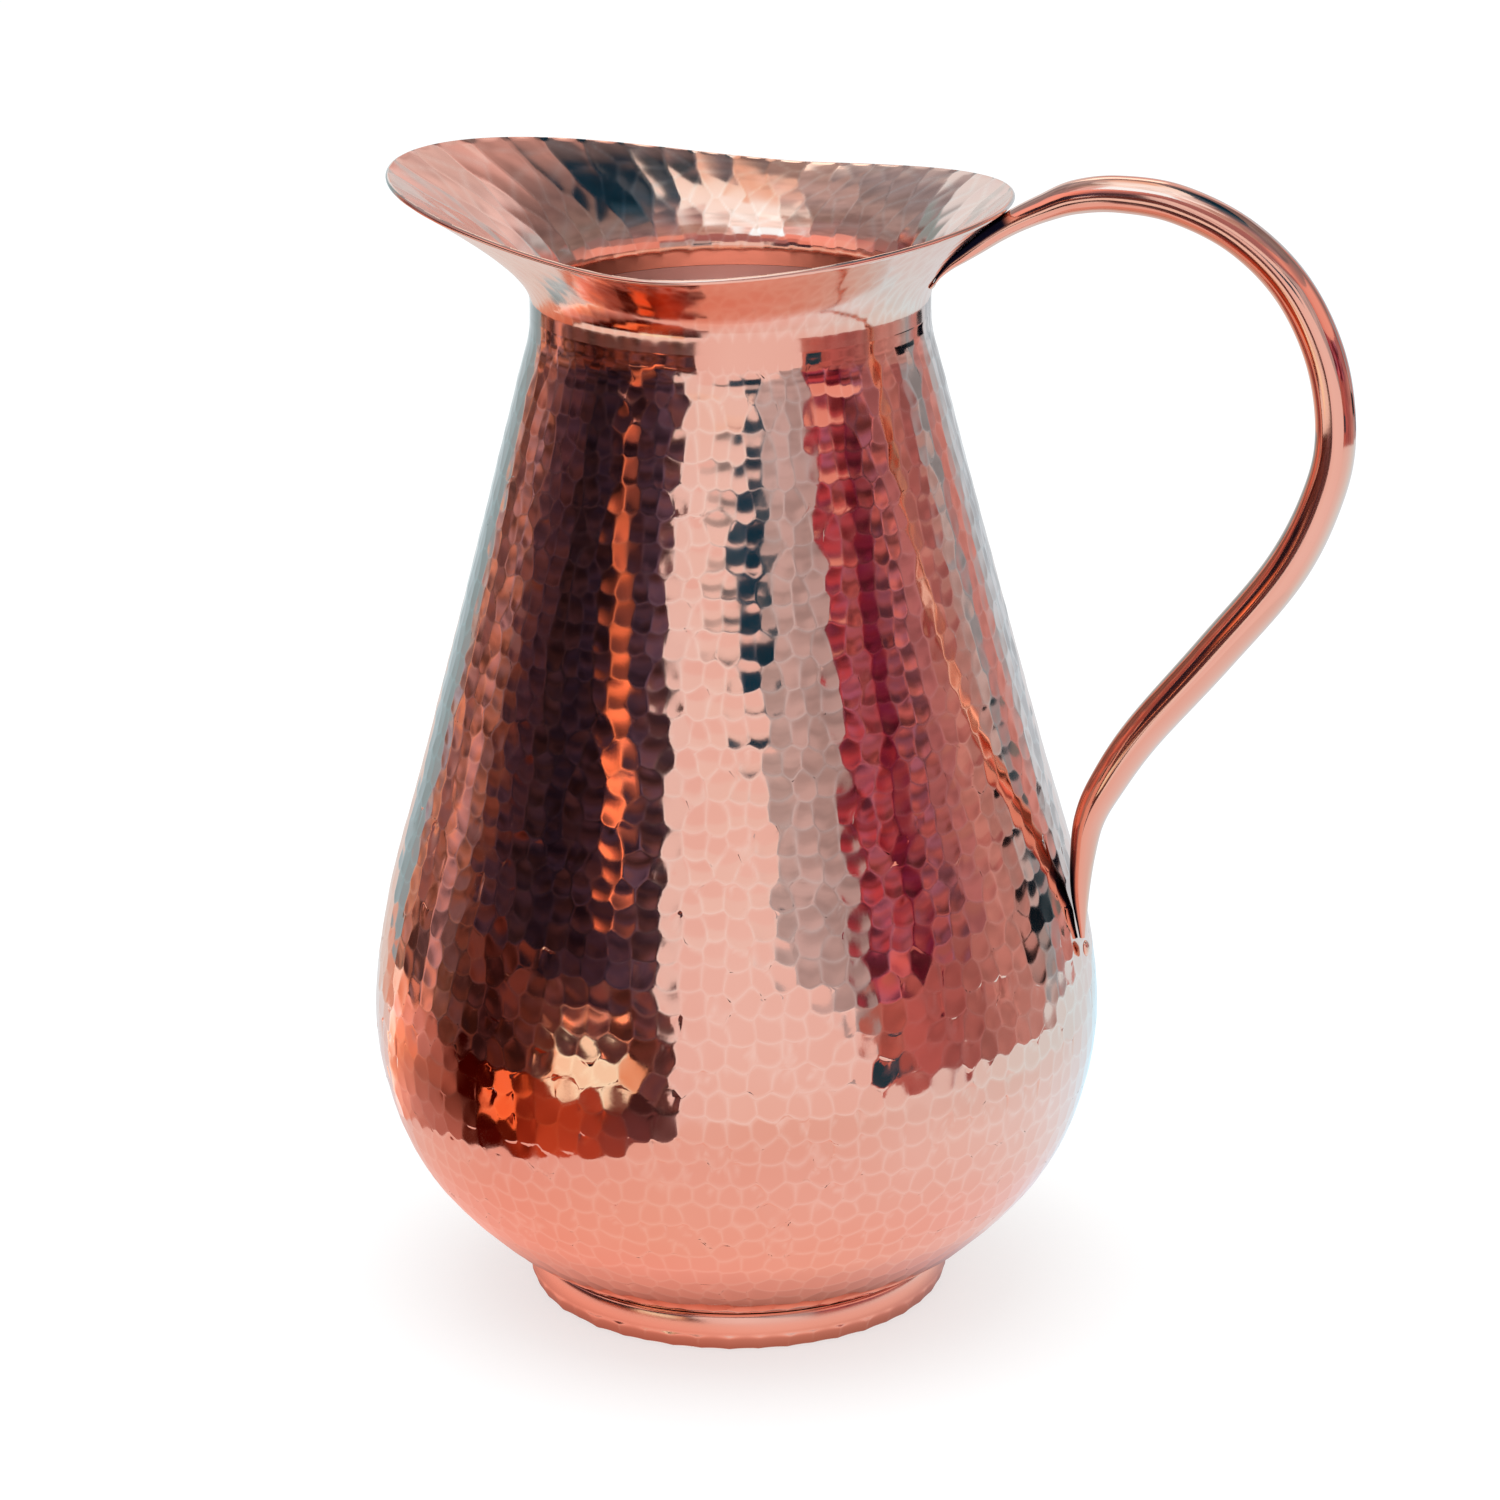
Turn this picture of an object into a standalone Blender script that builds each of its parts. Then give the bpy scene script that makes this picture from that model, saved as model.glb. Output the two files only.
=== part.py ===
"""Copper water jug: a raised and hammered shell with a flared pouring mouth, a low foot and an ear handle.

Metres, +Z up. The jug stands on z = 0. The spout points to -X and the handle to +X, and the origin is
under the middle of the whole outline, so the axis of the turned pieces lies at JUG_AXIS_X.
Outlines are (radius from the jug's axis, height) pairs.
"""

import math

import bmesh
import bpy
from mathutils import Vector

# Sheet, clearances and fineness
SHEET = 0.0012
GAP = 0.0003
SEGMENTS = 64
STEPS_PER_STATION = 2

# Reach from the jug's axis: the belly is the furthest point to -X and the handle to +X
BELLY_RADIUS = 0.0782
SPOUT_REACH = 0.0723
HANDLE_REACH = 0.1321
JUG_AXIS_X = (BELLY_RADIUS - HANDLE_REACH) / 2

# Outer face of the shell, from the middle of its dished base up to the neck
BASE_CENTRE_HEIGHT = 0.0064
NECK_RADIUS = 0.0419
SHELL_TOP = 0.2172
SHELL_STATIONS = (
    (0.0, BASE_CENTRE_HEIGHT),
    (0.024, 0.0054),
    (0.038, 0.0061),
    (0.0448, 0.0086),
    (0.0556, 0.0160),
    (0.0684, 0.0300),
    (0.0756, 0.0460),
    (BELLY_RADIUS, 0.0650),
    (0.0746, 0.0900),
    (0.0658, 0.1220),
    (0.0531, 0.1700),
    (0.0449, 0.2020),
    (0.0423, 0.2120),
    (NECK_RADIUS, SHELL_TOP),
)

# Ring of braze at the neck crease, a hair proud of the sheet
NECK_SEAM_HEIGHT = 0.0007
NECK_SEAM_PROUD = 0.0002

# Flared mouth: straight for a little, then a curve that leaves the neck upright
COLLAR_BOTTOM = SHELL_TOP + GAP + NECK_SEAM_HEIGHT + GAP
FLARE_START = 0.2200
FLARE_CORNER = 0.2272
FLARE_STEPS = 9
RIM_RADIUS = 0.0590
RIM_DIP = 0.2353
HANDLE_SIDE_RISE = 0.0056
SPOUT_RISE = 0.0096
RIM_RISE_POWER = 1.6
SPOUT_HALF_ANGLE = math.radians(75)

# Foot ring
FOOT_INNER_RADIUS = 0.0410
FOOT_REST_RADIUS = 0.0437
FOOT_OUTER = ((FOOT_REST_RADIUS, 0.0), (0.0450, 0.0012), (0.0456, 0.0036), (0.0454, 0.0066), (0.0449, 0.0081))
FOOT_TOP_INNER = (FOOT_INNER_RADIUS, 0.0063)

# Fillet of braze in the corner between base and foot ring, on the hidden inner side
FOOT_SEAM_REACH = 0.0022
FOOT_SEAM_DROP = 0.0026
FOOT_SEAM_STEPS = 4

# Handle: (distance from the jug's axis, height, thickness) along its middle line, upper end first
HANDLE_STATIONS = (
    (0.0448, 0.2256, 0.0009),
    (0.0472, 0.2280, 0.0018),
    (0.0499, 0.2302, 0.0030),
    (0.0530, 0.2324, 0.0040),
    (0.0568, 0.2352, 0.0048),
    (0.0613, 0.2384, 0.0055),
    (0.0668, 0.2416, 0.0062),
    (0.0735, 0.2445, 0.0070),
    (0.0825, 0.2455, 0.0076),
    (0.0945, 0.2440, 0.0080),
    (0.1075, 0.2381, 0.0081),
    (0.1184, 0.2278, 0.0083),
    (0.1255, 0.2136, 0.0084),
    (0.1279, 0.1980, 0.0084),
    (0.1255, 0.1845, 0.0087),
    (0.1181, 0.1684, 0.0091),
    (0.1038, 0.1496, 0.0090),
    (0.0889, 0.1311, 0.0084),
    (0.0812, 0.1188, 0.0076),
    (0.0778, 0.1112, 0.0065),
    (0.0765, 0.1035, 0.0054),
    (0.0760, 0.0948, 0.0040),
    (0.0766, 0.0845, 0.0012),
)
HANDLE_STEPS_PER_STATION = 2
HANDLE_BEVEL_RESOLUTION = 6

# Beads of braze that close the two pointed ends of the handle: half sizes across, along and outward
UPPER_BEAD_HALF = (0.0014, 0.0009, 0.0005)
LOWER_BEAD_HALF = (0.0014, 0.0017, 0.0009)
UPPER_BEAD_PLACE = 0.21
LOWER_BEAD_DROP = 0.0026

COPPER = (0.83, 0.43, 0.32)
BRAZE = (0.80, 0.56, 0.34)


def clear_scene():
    for obj in list(bpy.data.objects):
        bpy.data.objects.remove(obj, do_unlink=True)


def material(name, colour, roughness):
    mat = bpy.data.materials.new(name)
    mat.use_nodes = True
    shader = mat.node_tree.nodes["Principled BSDF"]
    shader.inputs["Base Color"].default_value = (*colour, 1.0)
    shader.inputs["Metallic"].default_value = 1.0
    shader.inputs["Roughness"].default_value = roughness
    return mat


def finish(obj, parent, mat):
    """Put a modelled piece on the jug's axis with its material and smooth shading."""
    bpy.context.scene.collection.objects.link(obj)
    obj.parent = parent
    obj.data.materials.append(mat)
    if obj.type == "MESH":
        obj.data.shade_smooth()
        obj.data.set_sharp_from_angle(angle=math.radians(35))
    return obj


def smooth_curve(stations, steps):
    """Points of a Catmull-Rom curve through the stations, whose coordinates may be of any number."""
    points = [Vector(station) for station in stations]
    first = points[0] * 2 - points[1]
    last = points[-1] * 2 - points[-2]
    run = [first, *points, last]
    curve = []
    for a, b, c, d in zip(run, run[1:], run[2:], run[3:]):
        for step in range(steps):
            t = step / steps
            curve.append(
                b + (c - a) * (t / 2)
                + (a * 2 - b * 5 + c * 4 - d) * (t * t / 2)
                + (b * 3 - a - c * 3 + d) * (t ** 3 / 2)
            )
    curve.append(points[-1])
    return curve


def offset_inward(outline, distance):
    """The outline moved towards the jug's inside by a distance, square to its own run."""
    moved = []
    for index, point in enumerate(outline):
        before = outline[max(index - 1, 0)]
        after = outline[min(index + 1, len(outline) - 1)]
        run = (after - before).normalized()
        moved.append(point + Vector((-run.y, run.x)) * distance)
    return moved


def turned(name, outline_at, closed):
    """A solid whose section at each angle round the jug's axis is outline_at(angle), run anticlockwise.

    A closed outline makes a ring. An open one starts and ends on the axis.
    """
    bm = bmesh.new()
    rings = []
    for segment in range(SEGMENTS):
        angle = math.tau * segment / SEGMENTS
        rings.append([
            bm.verts.new((r * math.cos(angle), r * math.sin(angle), z)) for r, z in outline_at(angle)
        ])
    count = len(rings[0])
    for index, ring in enumerate(rings):
        following = rings[(index + 1) % SEGMENTS]
        for low in range(count if closed else count - 1):
            high = (low + 1) % count
            bm.faces.new((ring[low], following[low], following[high], ring[high]))
    bmesh.ops.remove_doubles(bm, verts=bm.verts, dist=1e-7)
    bmesh.ops.recalc_face_normals(bm, faces=bm.faces)
    mesh = bpy.data.meshes.new(name)
    bm.to_mesh(mesh)
    bm.free()
    return bpy.data.objects.new(name, mesh)


def shell_outer():
    return smooth_curve(SHELL_STATIONS, STEPS_PER_STATION)


def body_shell():
    outer = shell_outer()
    inner = offset_inward(outer, SHEET)
    inner[0].x = 0.0
    inner[-1] = Vector((NECK_RADIUS - SHEET, SHELL_TOP))
    outline = outer + inner[::-1]
    return turned("body_shell", lambda angle: outline, closed=False)


def neck_braze_seam():
    low = SHELL_TOP + GAP
    high = low + NECK_SEAM_HEIGHT
    inside = NECK_RADIUS - SHEET
    outline = [
        (inside, low),
        (NECK_RADIUS, low),
        (NECK_RADIUS + NECK_SEAM_PROUD, (low + high) / 2),
        (NECK_RADIUS, high),
        (inside, high),
    ]
    return turned("neck_braze_seam", lambda angle: outline, closed=True)


def rim_point(angle):
    """Outer edge of the mouth at an angle round the axis, where 0 is the handle and pi the spout."""
    cosine = math.cos(angle)
    from_spout = abs(math.pi - angle % math.tau)
    radius = RIM_RADIUS
    if from_spout < SPOUT_HALF_ANGLE:
        reach = math.cos(from_spout / SPOUT_HALF_ANGLE * math.pi / 2) ** 2
        radius += (SPOUT_REACH - RIM_RADIUS) * reach
    rise = HANDLE_SIDE_RISE if cosine > 0 else SPOUT_RISE
    return Vector((radius, RIM_DIP + rise * abs(cosine) ** RIM_RISE_POWER))


def flare_point(angle, t):
    """Point of the flare's outer face, t = 0 at the neck and 1 at the rim."""
    start = Vector((NECK_RADIUS, FLARE_START))
    corner = Vector((NECK_RADIUS, FLARE_CORNER))
    return start * (1 - t) ** 2 + corner * (2 * t * (1 - t)) + rim_point(angle) * t * t


def collar_outline(angle):
    outer = [Vector((NECK_RADIUS, COLLAR_BOTTOM))]
    outer += [flare_point(angle, step / FLARE_STEPS) for step in range(FLARE_STEPS + 1)]
    inner = offset_inward(outer, SHEET)
    lip_end = outer[-1] - outer[-2]
    crown = (outer[-1] + inner[-1]) / 2 + lip_end.normalized() * (SHEET / 3)
    return outer + [crown] + inner[::-1]


def mouth_collar():
    return turned("mouth_collar", collar_outline, closed=True)


def foot_ring():
    outline = [(FOOT_INNER_RADIUS, 0.0), *FOOT_OUTER, FOOT_TOP_INNER]
    return turned("foot_ring", lambda angle: outline, closed=True)


def foot_braze_seam():
    corner = Vector((FOOT_INNER_RADIUS - GAP, FOOT_TOP_INNER[1] - GAP))
    hollow = corner - Vector((FOOT_SEAM_REACH, FOOT_SEAM_DROP))
    outline = [corner]
    for step in range(FOOT_SEAM_STEPS + 1):
        turn = math.pi / 2 * step / FOOT_SEAM_STEPS
        outline.append(Vector((
            hollow.x + FOOT_SEAM_REACH * math.sin(turn),
            hollow.y + FOOT_SEAM_DROP * math.cos(turn),
        )))
    outline[1].y -= GAP
    return turned("foot_braze_seam", lambda angle: outline, closed=True)


def handle():
    """The bar is a bevelled curve in the plane of spout and handle, thinning to a point at both ends."""
    data = bpy.data.curves.new("handle", "CURVE")
    data.dimensions = "3D"
    data.bevel_depth = 1.0
    data.bevel_resolution = HANDLE_BEVEL_RESOLUTION
    data.use_fill_caps = True
    points = smooth_curve(HANDLE_STATIONS, HANDLE_STEPS_PER_STATION)
    spline = data.splines.new("POLY")
    spline.points.add(len(points) - 1)
    for target, (reach, height, thickness) in zip(spline.points, points):
        target.co = (reach, 0.0, height, 1.0)
        target.radius = thickness / 2
    spline.use_smooth = True
    return bpy.data.objects.new("handle", data)


def bead(name, half_sizes):
    """A drop of braze: a rounded lump with its flat way across the sheet it lies on."""
    bm = bmesh.new()
    bmesh.ops.create_uvsphere(bm, u_segments=16, v_segments=8, radius=1.0)
    bmesh.ops.scale(bm, vec=half_sizes, verts=bm.verts)
    mesh = bpy.data.meshes.new(name)
    bm.to_mesh(mesh)
    bm.free()
    return bpy.data.objects.new(name, mesh)


def lay_on_wall(obj, foot, outward, half_thickness):
    """Set a bead on the jug's wall at (radius, height) foot, its short side along outward."""
    place = foot + outward * (half_thickness + GAP)
    obj.location = (place.x, 0.0, place.y)
    obj.rotation_euler = (0.0, math.atan2(outward.x, outward.y), 0.0)


def outward_normal(before, after):
    run = (after - before).normalized()
    return Vector((run.y, -run.x))


def upper_handle_braze():
    drop = bead("upper_handle_braze", (UPPER_BEAD_HALF[1], UPPER_BEAD_HALF[0], UPPER_BEAD_HALF[2]))
    foot = flare_point(0.0, UPPER_BEAD_PLACE)
    outward = outward_normal(foot, flare_point(0.0, UPPER_BEAD_PLACE + 0.05))
    lay_on_wall(drop, foot, outward, UPPER_BEAD_HALF[2])
    return drop


def lower_handle_braze():
    drop = bead("lower_handle_braze", (LOWER_BEAD_HALF[1], LOWER_BEAD_HALF[0], LOWER_BEAD_HALF[2]))
    height = HANDLE_STATIONS[-1][1] - LOWER_BEAD_DROP
    wall = shell_outer()
    above = next(index for index, point in enumerate(wall) if point.y > height)
    low, high = wall[above - 1], wall[above]
    foot = low.lerp(high, (height - low.y) / (high.y - low.y))
    lay_on_wall(drop, foot, outward_normal(low, high), LOWER_BEAD_HALF[2])
    return drop


def build():
    clear_scene()
    axis = bpy.data.objects.new("jug_axis", None)
    axis.location = (JUG_AXIS_X, 0.0, 0.0)
    bpy.context.scene.collection.objects.link(axis)
    hammered = material("hammered_copper", COPPER, 0.10)
    polished = material("polished_copper", COPPER, 0.08)
    foot_copper = material("foot_copper", COPPER, 0.22)
    bar_copper = material("bar_copper", COPPER, 0.07)
    braze = material("braze", BRAZE, 0.30)
    finish(body_shell(), axis, hammered)
    finish(mouth_collar(), axis, polished)
    finish(foot_ring(), axis, foot_copper)
    finish(handle(), axis, bar_copper)
    finish(neck_braze_seam(), axis, braze)
    finish(foot_braze_seam(), axis, braze)
    finish(upper_handle_braze(), axis, braze)
    finish(lower_handle_braze(), axis, braze)


build()
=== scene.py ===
"""Looks of the hammered copper water jug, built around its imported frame.

Metres, +Z up, in the frame's own coordinates. The jug's turned pieces share one upright axis, and
"angle" is measured round it: 0 on the handle's side and pi on the spout's. Each piece is a fine mesh
that stands for the plain solid of the same place: a shell and a mouth with the marks of the hammer,
a foot ring, a bar handle, and the braze that joins them.
"""

import math

import bpy
import numpy as np
from mathutils import Matrix, Vector


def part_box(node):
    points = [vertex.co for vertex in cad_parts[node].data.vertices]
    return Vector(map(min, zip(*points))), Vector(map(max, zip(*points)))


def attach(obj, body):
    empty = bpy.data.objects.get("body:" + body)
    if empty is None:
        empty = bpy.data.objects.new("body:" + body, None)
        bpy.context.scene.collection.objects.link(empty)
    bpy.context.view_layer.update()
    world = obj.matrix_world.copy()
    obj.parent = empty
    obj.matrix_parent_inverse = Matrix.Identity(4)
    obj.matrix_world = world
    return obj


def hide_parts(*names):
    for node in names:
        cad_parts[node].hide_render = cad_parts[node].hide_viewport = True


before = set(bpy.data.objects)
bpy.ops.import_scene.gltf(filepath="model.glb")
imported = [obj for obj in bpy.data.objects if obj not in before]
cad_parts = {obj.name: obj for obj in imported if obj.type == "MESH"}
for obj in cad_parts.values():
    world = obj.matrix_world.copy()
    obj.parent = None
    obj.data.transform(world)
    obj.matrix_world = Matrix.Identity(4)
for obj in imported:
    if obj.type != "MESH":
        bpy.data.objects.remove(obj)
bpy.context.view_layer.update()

MM = 0.001

# Where the axis of the turned pieces stands, and the heights where one piece ends and the next begins
SHELL_LOW, SHELL_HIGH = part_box("body_shell")
COLLAR_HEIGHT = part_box("mouth_collar")[0].z
AXIS_X = (SHELL_LOW.x + SHELL_HIGH.x) / 2
SHEET = 0.0012

# Outer face of the shell as (radius, height), from the middle of its dished base up to the neck
BELLY_RADIUS = (SHELL_HIGH.x - SHELL_LOW.x) / 2
NECK_RADIUS = 0.0419
NECK_HEIGHT = SHELL_HIGH.z
SHELL_STATIONS = (
    (0.0, 0.0064),
    (0.024, 0.0054),
    (0.038, 0.0061),
    (0.0448, 0.0086),
    (0.0556, 0.0160),
    (0.0684, 0.0300),
    (0.0756, 0.0460),
    (BELLY_RADIUS, 0.0650),
    (0.0746, 0.0900),
    (0.0658, 0.1220),
    (0.0531, 0.1700),
    (0.0449, 0.2020),
    (0.0423, 0.2120),
    (NECK_RADIUS, NECK_HEIGHT),
)
BELLY_HEIGHT = 0.0650
BASE_TOP = 0.0120
FOOT_CREASE_RADIUS = 0.0448

# Flared mouth
FLARE_START = 0.2200
FLARE_CORNER = 0.2272
RIM_RADIUS = 0.0590
SPOUT_REACH = 0.0723
RIM_DIP = 0.2353
HANDLE_SIDE_RISE = 0.0056
SPOUT_RISE = 0.0096
RIM_RISE_POWER = 1.6
SPOUT_HALF_ANGLE = math.radians(75)
MOUTH_COLUMNS = 720
PLANISH_PITCH = 4.6
MARKS_INSIDE_MOUTH = 46
MARKS_OUTSIDE_MOUTH = 84

# Foot ring: its outer face and its inner face as (radius, height)
FOOT_INNER_RADIUS = 0.0410
FOOT_REST_RADIUS = 0.0437
FOOT_TOP = (0.0446, 0.0083)
FOOT_OUTSIDE = (
    (FOOT_REST_RADIUS - 0.0012, 0.0),
    (FOOT_REST_RADIUS, 0.00008),
    (FOOT_REST_RADIUS + 0.0008, 0.0005),
    (0.0451, 0.0014),
    (0.0455, 0.0027),
    (0.0456, 0.0040),
    (0.0455, 0.0054),
    (0.0453, 0.0067),
    (0.0450, 0.0078),
    FOOT_TOP,
)
FOOT_INSIDE = (
    FOOT_TOP,
    (0.0430, 0.0070),
    (FOOT_INNER_RADIUS, 0.0061),
    (FOOT_INNER_RADIUS, 0.0030),
    (FOOT_INNER_RADIUS, 0.0004),
    (FOOT_INNER_RADIUS + 0.0004, 0.0),
)
FOOT_COLUMNS = 528
MARKS_ROUND_FOOT = 45
FOOT_MARK_RUNS = (2.6, 9.0)
FOOT_ROW_CHANGE = 5.8
FOOT_RING_STEP = 0.28

# Handle: (distance from the jug's axis, height, thickness) along its middle line, upper end first
HANDLE_STATIONS = (
    (0.0438, 0.2248, 0.0005),
    (0.0450, 0.2266, 0.0010),
    (0.0472, 0.2290, 0.0021),
    (0.0499, 0.2312, 0.0031),
    (0.0530, 0.2336, 0.0039),
    (0.0568, 0.2364, 0.0045),
    (0.0613, 0.2392, 0.0051),
    (0.0668, 0.2419, 0.0058),
    (0.0735, 0.2445, 0.0070),
    (0.0825, 0.2455, 0.0076),
    (0.0945, 0.2440, 0.0080),
    (0.1075, 0.2381, 0.0081),
    (0.1184, 0.2278, 0.0083),
    (0.1255, 0.2136, 0.0084),
    (0.1279, 0.1980, 0.0084),
    (0.1255, 0.1845, 0.0087),
    (0.1181, 0.1684, 0.0091),
    (0.1038, 0.1496, 0.0090),
    (0.0889, 0.1311, 0.0084),
    (0.0812, 0.1188, 0.0076),
    (0.0778, 0.1112, 0.0065),
    (0.0765, 0.1035, 0.0054),
    (0.0760, 0.0948, 0.0040),
    (0.0766, 0.0845, 0.0012),
)
HANDLE_RINGS = 620
HANDLE_SIDES = 48
HANDLE_UNEVENNESS = 0.035
# Painted shade on the bar, a dark reflection and shadow: under the rim, up to a reach, and by the wall, from
# a height down
RIM_SHADE_REACH = (0.0590, 0.0612)
WALL_SHADE_HEIGHT = (0.098, 0.112)
# How much higher than its solid the upper bead sits, close under the lip
UPPER_JOINT_RAISE = 0.0014

# Slow unevenness of the turned pieces, in millimetres
HAND_UNEVENNESS = 0.05

# Hammer marks, in millimetres: one row above another, each a shallow dish. The mesh has its points at
# these fractions of a mark, close together by the crests.
MARKS_ROUND_CONE = 92
MARK_WIDTH_LOW = 5.1
MARK_PITCHES = ((0.0, 0.060, 0.095, 0.150), (4.7, 5.2, 5.4, 5.8))
SHELL_COLUMNS = 736
MARK_FRACTIONS = (0.0, 0.045, 0.13, 0.30, 0.5, 0.70, 0.87, 0.955)
MARK_DISH = 0.006
MARK_BOW = 0.014
MARK_ARCH = 0.0038
MARK_BLEND = 0.014
MARK_DEPTH_JITTER = 0.008
MARK_LEAN_JITTER = 0.010
CREST_SPREAD = 0.030
BASE_RING_STEP = 1.6

# How far from the jug the dark table top begins, at azimuths from the camera
TABLE_EDGE = (
    (-126, 0.121), (-80, 0.130), (-66, 0.130), (-52, 0.136), (-34, 0.147), (-26, 0.174), (-16, 0.205),
)

# What stands in the room is a little cooler in one place and warmer in another
CLUTTER_TINTS = ((0.80, 0.92, 1.16), (1.20, 0.98, 0.80))


# ---------------------------------------------------------------- shapes in numbers

def smooth_curve(stations, steps):
    """Points of a Catmull-Rom curve through the stations."""
    points = np.array(stations, float)
    run = np.vstack([2 * points[0] - points[1], points, 2 * points[-1] - points[-2]])
    curve = []
    for a, b, c, d in zip(run, run[1:], run[2:], run[3:]):
        for t in np.arange(steps) / steps:
            curve.append(
                b + (c - a) * (t / 2)
                + (2 * a - 5 * b + 4 * c - d) * (t * t / 2)
                + (3 * b - a - 3 * c + d) * (t ** 3 / 2)
            )
    curve.append(points[-1])
    return np.array(curve)


def run_lengths(curve):
    steps = np.linalg.norm(np.diff(curve, axis=0), axis=1)
    return np.concatenate([[0.0], np.cumsum(steps)])


class Wall:
    """A turned wall's outline, asked by its run length in millimetres from its lower end."""

    def __init__(self, stations):
        self.curve = smooth_curve(stations, 24)
        self.runs = run_lengths(self.curve) / MM
        self.length = self.runs[-1]

    def at(self, runs):
        return np.stack([np.interp(runs, self.runs, self.curve[:, k]) for k in (0, 1)], axis=-1)

    def normals(self, runs):
        """Unit (radial, upward) normals that point out of the jug."""
        step = 0.4
        low = self.at(np.maximum(np.asarray(runs) - step, 0.0))
        high = self.at(np.minimum(np.asarray(runs) + step, self.length))
        along = high - low
        along /= np.linalg.norm(along, axis=-1, keepdims=True)
        return np.stack([along[..., 1], -along[..., 0]], axis=-1)


def turned_points(radius, height, angles):
    """Points round the jug's axis. radius and height may be numbers or arrays like angles."""
    angles = np.asarray(angles)
    return np.stack(
        [
            AXIS_X + radius * np.cos(angles),
            radius * np.sin(angles),
            np.broadcast_to(height, angles.shape),
        ],
        axis=-1,
    )


class Waves:
    """Slow unevenness of hand work: a sum of a few waves round the wall and along it."""

    def __init__(self, seed, height, turns=(2, 3, 5, 7, 9), lengths=(90, 60, 41, 33, 24)):
        random = np.random.default_rng(seed)
        self.height = height
        self.terms = [
            (turn, math.tau / length, random.uniform(0, math.tau), random.uniform(0, math.tau))
            for turn, length in zip(turns, lengths)
        ]

    def at(self, run, angles):
        total = 0.0
        for turn, rate, first, second in self.terms:
            total = total + np.sin(turn * angles + first) * np.cos(rate * run + second)
        return self.height * total / len(self.terms)


class HammerMarks:
    """Rows of shallow dishes that meet in fine crests, each narrower towards its lower end.

    Each row is (run length of its middle, how many marks it has round the wall), in millimetres.
    """

    def __init__(
        self, rows, seed, dish, bow, arch, blend, depth_jitter, lean_jitter, stagger=0.26, sway=0.09,
    ):
        random = np.random.default_rng(seed)
        self.places = np.array([place for place, count in rows])
        self.counts = [count for place, count in rows]
        self.dish, self.bow, self.arch, self.blend = dish, bow, arch, blend
        self.turns, self.sway, self.lift, self.depth, self.lean = [], [], [], [], []
        turn = 0.0
        for count in self.counts:
            turn += random.normal(0.0, stagger) * math.tau / count
            self.turns.append(turn)
            self.sway.append(random.uniform(-sway, sway, count))
            self.lift.append(random.uniform(-0.45, 0.45, count))
            self.depth.append(random.normal(0.0, depth_jitter, count))
            self.lean.append(random.normal(0.0, lean_jitter, (count, 2)))

    def centre(self, row, column):
        """Angle of a mark's middle; column may be an array of whole numbers, also past the last."""
        count = self.counts[row]
        return self.turns[row] + (column + 0.5 + self.sway[row][column % count]) * math.tau / count

    def edge(self, row, column, run, radius):
        """Angle of the crest between mark column-1 and mark column, at a run length."""
        left, right = self.centre(row, column - 1), self.centre(row, column)
        half = (right - left) / 2 * radius
        first, second = (column - 1) % self.counts[row], column % self.counts[row]
        rise = run - self.places[row] - self.lift[row]
        level = self.depth[row] + self.lean[row][:, 1] * rise + self.bow * rise ** 2 / 2
        tilt = self.lean[row][:, 0]
        bend = 1 / radius + self.dish - self.arch * (run - self.places[row])
        shift = (level[second] - level[first] - (tilt[first] + tilt[second]) * half) / (
            2 * bend * half + tilt[first] - tilt[second]
        )
        return (left + right) / 2 + np.clip(shift, -0.5 * half, 0.5 * half) / radius

    def dish_of(self, row, column, radius, angles):
        """One mark's height as level + slope * run + bow * run^2 / 2: gives the level and the slope."""
        mark = column % self.counts[row]
        across = (angles - self.centre(row, column)) * radius
        middle = self.places[row] + self.lift[row][mark]
        lean = self.lean[row][mark]
        slope = lean[:, 1] - self.bow * middle - self.arch * across ** 2 / 2
        level = (
            self.depth[row][mark] + lean[:, 0] * across - lean[:, 1] * middle
            + (1 / radius + self.dish + self.arch * middle) * across ** 2 / 2 + self.bow * middle ** 2 / 2
        )
        return level, slope

    def crest_run(self, row, radius, angles):
        """Run length of the crest between a row and the next one up."""
        dishes = []
        middle = (self.places[row] + self.places[row + 1]) / 2
        for index in (row, row + 1):
            column = np.floor((angles - self.turns[index]) / math.tau * self.counts[index]).astype(int)
            before = angles < self.edge(index, column, middle, radius)
            after = angles >= self.edge(index, column + 1, middle, radius)
            dishes.append(self.dish_of(index, column - before + after, radius, angles))
        (low_level, low_slope), (high_level, high_slope) = dishes
        run = (high_level - low_level) / (low_slope - high_slope)
        low, high = self.places[row], self.places[row + 1]
        return np.clip(run, 0.75 * low + 0.25 * high, 0.25 * low + 0.75 * high)

    def at(self, row, run, radius, angles):
        """Height of the surface in or near a row, and how near each point is to a crest, from 0 to 1."""
        heights = []
        for index in range(max(row - 1, 0), min(row + 2, len(self.places))):
            column = np.floor((angles - self.turns[index]) / math.tau * self.counts[index]).astype(int)
            for side in (-1, 0, 1):
                level, slope = self.dish_of(index, column + side, radius, angles)
                heights.append(level + slope * run + self.bow * run ** 2 / 2)
        heights = np.sort(np.array(heights), axis=0)
        low = heights[0]
        blended = low - self.blend * np.log(np.exp(-(heights - low) / self.blend).sum(axis=0))
        crest = np.exp(-(heights[1] - low) / CREST_SPREAD)
        return blended, crest


def ramp(value, low, high):
    """0 below low, 1 above high and a smooth rise between."""
    t = np.clip((value - low) / (high - low), 0.0, 1.0)
    return t * t * (3 - 2 * t)


# ---------------------------------------------------------------- meshes

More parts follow.
